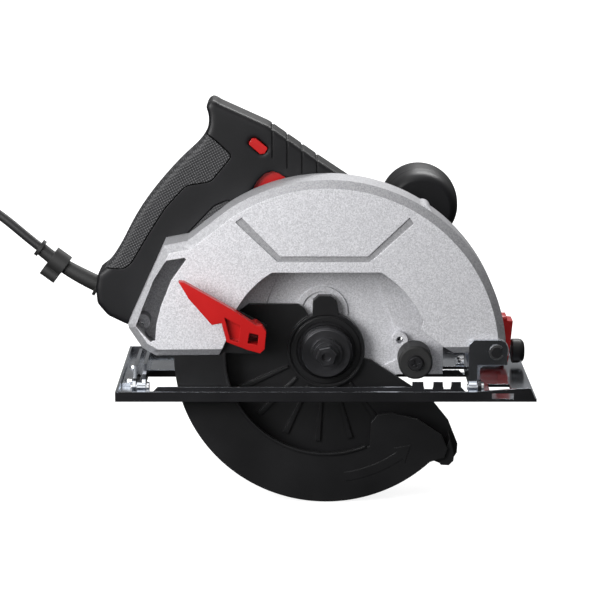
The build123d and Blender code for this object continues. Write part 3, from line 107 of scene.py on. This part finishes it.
# The camera sees a white background. Reflections see one that is dark below and lighter above.
HORIZON, SKY_TOP = -0.05, 0.8  # Z of the direction where the rise starts and ends
SKY_DARK, SKY_LIGHT = 0.03, 0.55
world = bpy.data.worlds.new("studio")
bpy.context.scene.world = world
world.use_nodes = True
tree = world.node_tree
background = tree.nodes["Background"]
background.inputs["Color"].default_value = (1, 1, 1, 1)
direction = tree.nodes.new("ShaderNodeTexCoord")
parts = tree.nodes.new("ShaderNodeSeparateXYZ")
rise = tree.nodes.new("ShaderNodeMapRange")
rise.inputs["From Min"].default_value, rise.inputs["From Max"].default_value = HORIZON, SKY_TOP
rise.inputs["To Min"].default_value, rise.inputs["To Max"].default_value = SKY_DARK, SKY_LIGHT
ray = tree.nodes.new("ShaderNodeLightPath")
seen = tree.nodes.new("ShaderNodeMix")
seen.inputs["B"].default_value = 1.0
tree.links.new(direction.outputs["Generated"], parts.inputs[0])
tree.links.new(parts.outputs["Z"], rise.inputs["Value"])
tree.links.new(ray.outputs["Is Camera Ray"], seen.inputs["Factor"])
tree.links.new(rise.outputs["Result"], seen.inputs["A"])
tree.links.new(seen.outputs["Result"], background.inputs["Strength"])

FLOOR_Z, FLOOR_SIZE = -0.0982, 60  # just under the lower guard and the cord's coil
bpy.ops.mesh.primitive_plane_add(size=FLOOR_SIZE, location=(0, 0, FLOOR_Z))
floor = bpy.context.object
floor.name = "floor"
floor.visible_glossy = False
floor.visible_diffuse = False

bpy.context.scene.view_settings.view_transform = "Standard"


# ---- material helpers ------------------------------------------------------------------------
def add_node(tree, kind, **values):
    """A shader node with its properties and input sockets set by name."""
    node = tree.nodes.new(kind)
    for name, value in values.items():
        if hasattr(node, name):
            setattr(node, name, value)
        else:
            node.inputs[name.replace("_", " ")].default_value = value
    return node


def blank(name, colour, metallic=0.0, roughness=0.5, **sockets):
    """A Principled material and its tree."""
    made = bpy.data.materials.new(name)
    made.use_nodes = True
    shader = made.node_tree.nodes["Principled BSDF"]
    shader.inputs["Base Color"].default_value = (*colour, 1)
    shader.inputs["Metallic"].default_value = metallic
    shader.inputs["Roughness"].default_value = roughness
    for socket, value in sockets.items():
        shader.inputs[socket.replace("_", " ")].default_value = value
    return made, made.node_tree, shader


def place_of(tree, stretch=ALL_ALIKE, turn=(0, 0, 0)):
    """Object coordinates, stretched and turned."""
    source = add_node(tree, "ShaderNodeTexCoord")
    mapping = add_node(tree, "ShaderNodeMapping")
    mapping.inputs["Scale"].default_value = stretch
    mapping.inputs["Rotation"].default_value = turn
    tree.links.new(source.outputs["Object"], mapping.inputs["Vector"])
    return mapping.outputs["Vector"]


def noise_of(tree, scale, detail=3.0, place=None):
    """Noise value over object coordinates, or over another place."""
    node = add_node(tree, "ShaderNodeTexNoise", Scale=scale, Detail=detail)
    tree.links.new(place or place_of(tree), node.inputs["Vector"])
    return node.outputs["Fac"]


def ramp_of(tree, value, *stops):
    """Colour ramp through (position, colour) stops."""
    node = add_node(tree, "ShaderNodeValToRGB")
    while len(node.color_ramp.elements) < len(stops):
        node.color_ramp.elements.new(0.5)
    for element, (position, colour) in zip(node.color_ramp.elements, stops):
        element.position = position
        element.color = (*colour, 1)
    tree.links.new(value, node.inputs["Fac"])
    return node.outputs["Color"]


def range_of(tree, value, low, high):
    """A value from 0 to 1 taken to low to high."""
    node = add_node(tree, "ShaderNodeMapRange", To_Min=low, To_Max=high)
    tree.links.new(value, node.inputs["Value"])
    return node.outputs["Result"]


def bump_of(tree, shader, height, distance, strength=1.0, edge=0.0004):
    """Bump on the shader's normal, over edges that are rounded by edge."""
    node = add_node(tree, "ShaderNodeBump", Strength=strength, Distance=distance)
    tree.links.new(height, node.inputs["Height"])
    rounded = add_node(tree, "ShaderNodeBevel", samples=4, Radius=edge)
    tree.links.new(rounded.outputs["Normal"], node.inputs["Normal"])
    tree.links.new(node.outputs["Normal"], shader.inputs["Normal"])


def tint(colour, factor):
    """The colour made darker or lighter, no channel over 1."""
    return tuple(min(value * factor, 1) for value in colour)


# ---- materials -------------------------------------------------------------------------------
WAVE_STEP = 0.314  # wave texture scale times the pitch of its bands, in metres
WEAVE_PITCH, WEAVE_SLOPES = 0.0016, (25, -62)  # degrees
BROAD, CLOUDY = 22.0, 35.0  # scales of the slow changes in colour and gloss


def grain(name, colour, roughness, scale=900.0, depth=0.00002, metallic=0.0, edge=0.0004,
          spread=0.25, **sockets):
    """Moulded or coated surface: fine grain, slow changes in colour and gloss, soft edges."""
    made, tree, shader = blank(name, colour, metallic, roughness, **sockets)
    fine = noise_of(tree, scale, 2.0)
    broad = noise_of(tree, BROAD, 4.0)
    shades = ramp_of(tree, broad, (0.3, tint(colour, 1 - spread)), (0.7, tint(colour, 1 + spread)))
    gloss = range_of(tree, broad, roughness - 0.06, roughness + 0.08)
    tree.links.new(shades, shader.inputs["Base Color"])
    tree.links.new(gloss, shader.inputs["Roughness"])
    bump_of(tree, shader, fine, depth, edge=edge)
    return made


def silver_paint(name="silver_paint", shade=1.0):
    """Light silver with metal flakes that catch the light one by one. A shade under 1 darkens the
    whole colour, for copies that carry painted shade.
    """
    made, tree, shader = blank(name, (0.60, 0.61, 0.62), 0.3, 0.5)
    flakes = add_node(tree, "ShaderNodeTexVoronoi", Scale=1500.0)
    tree.links.new(place_of(tree), flakes.inputs["Vector"])
    stops = [(0.15, (0.55, 0.55, 0.575)), (0.55, (0.69, 0.69, 0.72)), (0.95, (0.83, 0.83, 0.86))]
    stops = [(position, tint(tone, shade)) for position, tone in stops]
    colour = ramp_of(tree, flakes.outputs["Color"], *stops)
    tree.links.new(colour, shader.inputs["Base Color"])
    bump_of(tree, shader, flakes.outputs["Color"], 0.00006, 0.5, edge=0.0007)
    return made


def grip_rubber():
    """Overmould with a fine scaly weave."""
    made, tree, shader = blank("grip_rubber", (0.022, 0.022, 0.024), 0.0, 0.5)
    cross = add_node(tree, "ShaderNodeMath", operation="MULTIPLY")
    for socket, slope in zip(cross.inputs, WEAVE_SLOPES):
        place = place_of(tree, ALL_ALIKE, (0, math.radians(slope), 0))
        wave = add_node(tree, "ShaderNodeTexWave", Scale=WAVE_STEP / WEAVE_PITCH, Distortion=0.6,
                        Detail=1.0, Detail_Scale=2.0, bands_direction="X")
        tree.links.new(place, wave.inputs["Vector"])
        tree.links.new(wave.outputs["Fac"], socket)
    weave = cross.outputs[0]
    colour = ramp_of(tree, weave, (0.1, (0.014, 0.014, 0.015)), (0.8, (0.060, 0.060, 0.065)))
    tree.links.new(colour, shader.inputs["Base Color"])
    bump_of(tree, shader, weave, 0.0003, 0.9, edge=0.0008)
    return made


def plating(name, colour, roughness, scratch=0.00002):
    """Bright plating with faint rolling marks and cloudy gloss."""
    made, tree, shader = blank(name, colour, 1.0, roughness)
    marks = noise_of(tree, 260.0, 3.0, place_of(tree, (0.15, 1, 1)))
    cloud = noise_of(tree, CLOUDY, 3.0)
    shades = ramp_of(tree, cloud, (0.35, tint(colour, 0.85)), (0.65, colour))
    gloss = range_of(tree, cloud, roughness * 0.6, roughness * 1.5)
    tree.links.new(gloss, shader.inputs["Roughness"])
    tree.links.new(shades, shader.inputs["Base Color"])
    bump_of(tree, shader, marks, scratch, edge=0.0005)
    return made


def turned(name, colour, roughness, metallic=0.9, pitch=0.0007):
    """Turned part about the arbor's axis: fine rings."""
    made, tree, shader = blank(name, colour, metallic, roughness)
    rings = add_node(tree, "ShaderNodeTexWave", wave_type="RINGS", rings_direction="Y",
                     Scale=WAVE_STEP / pitch, Distortion=0.3)
    tree.links.new(place_of(tree), rings.inputs["Vector"])
    gloss = range_of(tree, noise_of(tree, 90.0, 3.0), roughness - 0.05, roughness + 0.12)
    tree.links.new(gloss, shader.inputs["Roughness"])
    bump_of(tree, shader, rings.outputs["Fac"], 0.00004, edge=0.0003)
    return made


def windings(name, colour, axis):
    """Enamelled wire lying along one axis."""
    made, tree, shader = blank(name, colour, 0.7, 0.3)
    wires = add_node(tree, "ShaderNodeTexWave", Scale=450.0, Distortion=1.2,
                     bands_direction=axis)
    tree.links.new(place_of(tree), wires.inputs["Vector"])
    bump_of(tree, shader, wires.outputs["Fac"], 0.0002)
    return made


looks = {
    "silver_paint": silver_paint(),
    "black_plastic": grain("black_plastic", (0.006, 0.006, 0.007), 0.44, edge=0.0008,
                           Specular_IOR_Level=0.32),
    "grip_rubber": grip_rubber(),
    "zinc_plate": plating("zinc_plate", (0.64, 0.67, 0.72), 0.16),
    "black_guard": grain("black_guard", (0.010, 0.010, 0.0108), 0.36, scale=500, depth=0.00003,
                         edge=0.001, Specular_IOR_Level=0.4),
    "dark_steel": turned("dark_steel", (0.075, 0.075, 0.08), 0.28),
    "bright_steel": plating("bright_steel", (0.72, 0.73, 0.75), 0.2),
    "red_plastic": grain("red_plastic", (0.46, 0.006, 0.006), 0.34, edge=0.0006, spread=0.12),
    "black_rubber": grain("black_rubber", (0.012, 0.012, 0.012), 0.6, scale=700, depth=0.00005,
                          edge=0.0006),
    "core_steel": turned("core_steel", (0.30, 0.29, 0.28), 0.4),
    "copper": windings("copper", (0.70, 0.30, 0.14), "X"),
    "carbon": grain("carbon", (0.03, 0.03, 0.03), 0.55),
    "bearing_steel": turned("bearing_steel", (0.55, 0.55, 0.57), 0.2, 1.0),
    "spring_steel": plating("spring_steel", (0.38, 0.38, 0.39), 0.3),
    "brass_parts": plating("brass_parts", (0.70, 0.52, 0.25), 0.25),
    "cord_rubber": grain("cord_rubber", (0.014, 0.014, 0.015), 0.48, scale=600,
                         depth=0.00004),
    "plug_plastic": grain("plug_plastic", (0.016, 0.016, 0.017), 0.4),
}
for entry in frame["record"]["subparts"]:
    mesh = nodes[entry["node"]].data
    mesh.materials.clear()
    mesh.materials.append(looks[entry["material_slot"]])


def patch(node, look, chosen):
    """Another look on the faces of a CAD node that chosen(centre in mm, normal) picks."""
    mesh = nodes[node].data
    mesh.materials.append(look)
    for face in mesh.polygons:
        if chosen(face.center / MM, face.normal):
            face.material_index = len(mesh.materials) - 1


BADGE_FLOOR, LIP_INSIDE = -15.3, -29.5  # Y, mm
RIM_INSIDE, BOSS_RADIUS = 84.0, 21.0  # from the arbor's axis, mm
TILTED, SQUARE = -0.3, -0.95  # how far a face's normal points at the camera's side


def from_axis(at):
    return math.hypot(at.x, at.z)


# Painted shade: the guard cover's tilted bevel band and its badge floor get a darker copy of the
# silver paint, for the shade they fall in.
painted_shade_silver = silver_paint("silver_painted_shade", 0.5)
patch("guard_cover", painted_shade_silver, lambda at, normal: SQUARE < normal.y < TILTED)
patch("guard_cover", painted_shade_silver,
      lambda at, normal: normal.y < SQUARE and abs(at.y - BADGE_FLOOR) < 0.1)
# Painted shade: the outer rims of both castings get a darker copy of the silver paint, holding the
# strongly lit rim down from white.
rim_painted_shade = silver_paint("silver_rim_painted_shade", 0.55)
for casting in ("guard_cover", "gear_housing"):
    patch(casting, rim_painted_shade,
          lambda at, normal: abs(normal.y) < -TILTED and from_axis(at) > RIM_INSIDE)
# Painted reflection: the zinc base plate's faces turned to the camera's side, and its near lip,
# are painted near black for the dark surroundings they reflect.
lip_painted_reflection = grain("lip_painted_reflection", (0.034, 0.034, 0.037), 0.22, scale=300, depth=0.00001, metallic=0.6)
patch("base_plate", lip_painted_reflection, lambda at, normal: normal.y < -0.5 or at.y < LIP_INSIDE)
dark_boss = turned("dark_boss", (0.03, 0.03, 0.032), 0.4)
patch("gear_housing", dark_boss, lambda at, normal: from_axis(at) < BOSS_RADIUS)

pale, _, _ = blank("pale_floor", (0.4, 0.4, 0.4), 0.0, 0.8, Emission_Color=(1, 1, 1, 1),
                   Emission_Strength=0.86, Specular_IOR_Level=0.0)
floor.data.materials.append(pale)

# ---- handle ----------------------------------------------------------------------------------
# Outlines in X and Z, and depths in Y, all in millimetres.
GRIP_PATCH = [(-60.3, 125.2), (-73.9, 108.5), (-90.1, 105.9), (-103.7, 91.2), (-116, 71.9),
              (-125.8, 55.3), (-131, 51.3), (-160, 53), (-140, 110), (-90, 150), (-70, 134.5)]
FINGER_PATCH = [(-98, 60), (-90, 74), (-72, 93), (-62, 97), (-56, 90), (-74, 64), (-84, 48),
                (-92, 46)]
PATCH_DEPTH = (5.0, 60.0)
PATCH_GAP = 0.35  # half of the gap round a patch
TOP_GROOVES = (-34.5, -25.0, -15.5, -6.0)  # X of each notch across the handle's top
TOP_LINE = (118.5, -0.7033)  # height of the handle's top where X is 0, and its slope
NOTCH = ((-1.3, 2.4), (1.3, 1.4), (0.4, -1.3), (-0.4, -1.1))  # round its place on the top
NEAR_FACE, LINE_DROP, LINE_DEPTH, HALF_LINE = 15.0, 19.0, 0.8, 0.45
ROUNDING_VOXEL, ROUNDING_PASSES = 0.0011, 6


def apply(piece):
    """The piece's mesh with its modifiers applied."""
    bpy.context.view_layer.update()
    shown = piece.evaluated_get(bpy.context.evaluated_depsgraph_get())
    made = bpy.data.meshes.new_from_object(shown)
    piece.modifiers.clear()
    piece.data = made
    return piece


def joined(name, *sources):
    """One new mesh object from copies of CAD nodes."""
    work = bmesh.new()
    for source in sources:
        work.from_mesh(nodes[source].data)
    mesh = bpy.data.meshes.new(name)
    bmesh.ops.remove_doubles(work, verts=work.verts, dist=0.000002)
    work.to_mesh(mesh)
    work.free()
    return link(mesh, name)


def softened(piece, voxel, rounds):
    """Edges rounded off, as moulded parts have them."""
    remesh = piece.modifiers.new("remesh", "REMESH")
    remesh.mode, remesh.voxel_size = "VOXEL", voxel
    smooth = piece.modifiers.new("smooth", "SMOOTH")
    smooth.factor, smooth.iterations = 0.5, rounds
    return apply(piece)


def prism(name, outline, grow, low, high):
    """A closed prism along Y over an outline in X and Z, its sides moved out by grow."""
    count = len(outline)
    area = sum(outline[i - 1][0] * outline[i][1] - outline[i][0] * outline[i - 1][1]
               for i in range(count))
    sign = 1 if area > 0 else -1
    moved = []
    for i, (x, z) in enumerate(outline):
        before, after = outline[i - 1], outline[(i + 1) % count]
        along = Vector((after[0] - before[0], after[1] - before[1])).normalized()
        moved.append((x + sign * along.y * grow, z - sign * along.x * grow))
    work = bmesh.new()
    near = [work.verts.new(mm(x, low, z)) for x, z in moved]
    far = [work.verts.new(mm(x, high, z)) for x, z in moved]
    work.faces.new(near)
    work.faces.new(far[::-1])
    for i in range(count):
        work.faces.new((near[i - 1], far[i - 1], far[i], near[i]))
    bmesh.ops.recalc_face_normals(work, faces=work.faces)
    mesh = bpy.data.meshes.new(name)
    work.to_mesh(mesh)
    work.free()
    return link(mesh, name)


def eased(outline, reach=3.0, most=0.45, steps=4):
    """Each corner as a curve that starts reach from it, or at most that share of a side."""
    points = []
    for i, corner in enumerate(outline):
        middle = Vector(corner)
        ends = []
        for other in (outline[i - 1], outline[(i + 1) % len(outline)]):
            run = Vector(other) - middle
            ends.append(middle + run * min(reach / run.length, most))
        for step in range(steps + 1):
            t = step / steps
            bend = ends[0] * (1 - t) ** 2 + middle * 2 * t * (1 - t) + ends[1] * t ** 2
            points.append(tuple(bend))
    return points


def cut(piece, tool, operation):
    """The piece without the tool, or its part inside the tool. The tool is used up."""
    boolean = piece.modifiers.new("cut", "BOOLEAN")
    boolean.object, boolean.operation, boolean.solver = tool, operation, "EXACT"
    apply(piece)
    bpy.data.objects.remove(tool)
    return piece


def smooth_shade(piece, degrees=40):
    """Smooth shading, with edges sharper than degrees kept."""
    for face in piece.data.polygons:
        face.use_smooth = True
    piece.data.set_sharp_from_angle(angle=math.radians(degrees))


shell = softened(joined("handle_shell", "handle_near", "handle_far", "grip_overmold"),
                 ROUNDING_VOXEL, ROUNDING_PASSES)
grip = link(shell.data.copy(), "handle_grip")
fingers = link(shell.data.copy(), "finger_grip")
for outline in (GRIP_PATCH, FINGER_PATCH):
    cut(shell, prism("patch", eased(outline), PATCH_GAP, *PATCH_DEPTH), "DIFFERENCE")
cut(grip, prism("patch", eased(GRIP_PATCH), -PATCH_GAP, *PATCH_DEPTH), "INTERSECT")
cut(fingers, prism("patch", eased(FINGER_PATCH), -PATCH_GAP, *PATCH_DEPTH), "INTERSECT")
for start in TOP_GROOVES:
    top = TOP_LINE[0] + TOP_LINE[1] * start
    notch = [(start + x, top + z) for x, z in NOTCH]
    cut(shell, prism("notch", notch, 0, *PATCH_DEPTH), "DIFFERENCE")
    line = [(start - HALF_LINE, top), (start + HALF_LINE, top),
            (start + HALF_LINE, top - LINE_DROP), (start - HALF_LINE, top - LINE_DROP)]
    cut(shell, prism("line", line, 0, NEAR_FACE - 3, NEAR_FACE + LINE_DEPTH), "DIFFERENCE")
for piece, look, replaced in ((shell, "black_plastic", ("handle_near", "handle_far")),
                              (grip, "grip_rubber", ("grip_overmold",)),
                              (fingers, "grip_rubber", ())):
    piece.data.materials.clear()
    piece.data.materials.append(looks[look])
    smooth_shade(piece)
    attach(piece, "saw_body")
    if replaced:
        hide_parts(*replaced)

# ---- lower guard's arrow ---------------------------------------------------------------------
ARROW_RADIUS, ARROW_WIDTH = 81.5, 6.5
ARROW_FROM, ARROW_TO, ARROW_HEAD = 278.5, 305.5, 313.0  # degrees round the arbor
ARROW_STEPS = 10
GUARD_FACE, ARROW_RISE, ARROW_SUNK = -11.5, 0.35, 0.2


def polar(radius, degrees):
    """X and Z at this radius and angle round the arbor."""
    angle = math.radians(degrees)
    return radius * math.cos(angle), radius * math.sin(angle)


def arrow_outline():
    """Outline of an arrow bent round the arbor, pointing towards the front."""
    bow = [ARROW_FROM + (ARROW_TO - ARROW_FROM) * step / ARROW_STEPS
           for step in range(ARROW_STEPS + 1)]
    inner = [polar(ARROW_RADIUS - ARROW_WIDTH / 2, angle) for angle in bow]
    outer = [polar(ARROW_RADIUS + ARROW_WIDTH / 2, angle) for angle in bow]
    head = [polar(ARROW_RADIUS - ARROW_WIDTH, ARROW_TO), polar(ARROW_RADIUS - 1, ARROW_HEAD),
            polar(ARROW_RADIUS + ARROW_WIDTH, ARROW_TO)]
    return inner + head + outer[::-1]


arrow = link(bpy.data.meshes.new("guard_arrow"), "guard_arrow")
work = bmesh.new()
work.faces.new([work.verts.new(mm(x, GUARD_FACE + ARROW_SUNK, z)) for x, z in arrow_outline()])
work.to_mesh(arrow.data)
work.free()
solid = arrow.modifiers.new("solid", "SOLIDIFY")
solid.thickness, solid.offset = (ARROW_RISE + ARROW_SUNK) * MM, 0
arrow.data.materials.append(looks["black_guard"])
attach(arrow, "lower_guard")

# ---- cord ------------------------------------------------------------------------------------
CORD_RADIUS = 3.0
CORD_ROUTE = [(-150, 30, 38.6), (-166, 30, 47), (-188, 30, 63.5), (-214, 30, 86.5),
              (-243, 31, 104), (-276, 33, 98), (-297, 36, 63), (-304, 38.5, 16), (-307, 38, -32),
              (-312, 35.5, -58), (-322, 25.5, -80), (-332, 8.5, -92.5), (-338.5, -11, -95),
              (-340, -29, -95)]
LEAD_TO_PLUG = [(-311.5, -49.5, -81), (-301, -54.5, -78), (-290, -55.5, -76.3),
                (-279, -50.5, -74.8), (-271.6, -41, -73.4), (-270, -30, -73)]
COIL_CENTRE = (-301.0, -22.0)
COIL_OUTER, COIL_INNER = 39.6, 26.5  # centreline radii
FIRST_LAYER, LAYER_STEP = -95.0, 6.0
LAYERS = 3
TRAVERSE, STEP_UP = 2.17, 0.35  # turns across a layer and up to the next
LEAVE_EARLY = 0.12  # turns short of the last layer's end, where the cord rises to its plug
TURN_POINTS = 14


def coil_place(turns):
    """Radius and height of the cord's centre after so many turns of the coil."""
    layer, along = divmod(turns, TRAVERSE + STEP_UP)
    across = min(along / TRAVERSE, 1.0)
    climb = max(along - TRAVERSE, 0) / STEP_UP
    if layer % 2:
        across = 1 - across
    radius = COIL_OUTER + (COIL_INNER - COIL_OUTER) * across
    return radius, FIRST_LAYER + LAYER_STEP * (layer + climb)


def coil_points():
    """Points of the put-away coil, from the end of the route on."""
    middle_x, middle_y = COIL_CENTRE
    start = math.atan2(CORD_ROUTE[-1][1] - middle_y, CORD_ROUTE[-1][0] - middle_x)
    points = []
    total = LAYERS * TRAVERSE + (LAYERS - 1) * STEP_UP - LEAVE_EARLY
    for step in range(1, int(total * TURN_POINTS) + 1):
        turns = step / TURN_POINTS
        radius, height = coil_place(turns)
        angle = start + 2 * math.pi * turns
        points.append((middle_x + radius * math.cos(angle),
                       middle_y + radius * math.sin(angle), height))
    return points


def make_curve(name, points, radius, order=3):
    """A NURBS curve through control points in millimetres, with a round section."""
    curve = bpy.data.curves.new(name, "CURVE")
    curve.dimensions = "3D"
    curve.bevel_depth = radius * MM
    curve.bevel_resolution = 6
    curve.resolution_u = 8
    curve.use_fill_caps = True
    spline = curve.splines.new("NURBS")
    spline.points.add(len(points) - 1)
    for point, place in zip(spline.points, points):
        point.co = (*mm(*place), 1)
    spline.order_u = order
    spline.use_endpoint_u = True
    return link(curve, name)


cord = make_curve("mains_cord", CORD_ROUTE + coil_points() + LEAD_TO_PLUG, CORD_RADIUS)
cord.data.materials.append(looks["cord_rubber"])
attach(cord, "saw_body")
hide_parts("power_cord", "cord_coil")
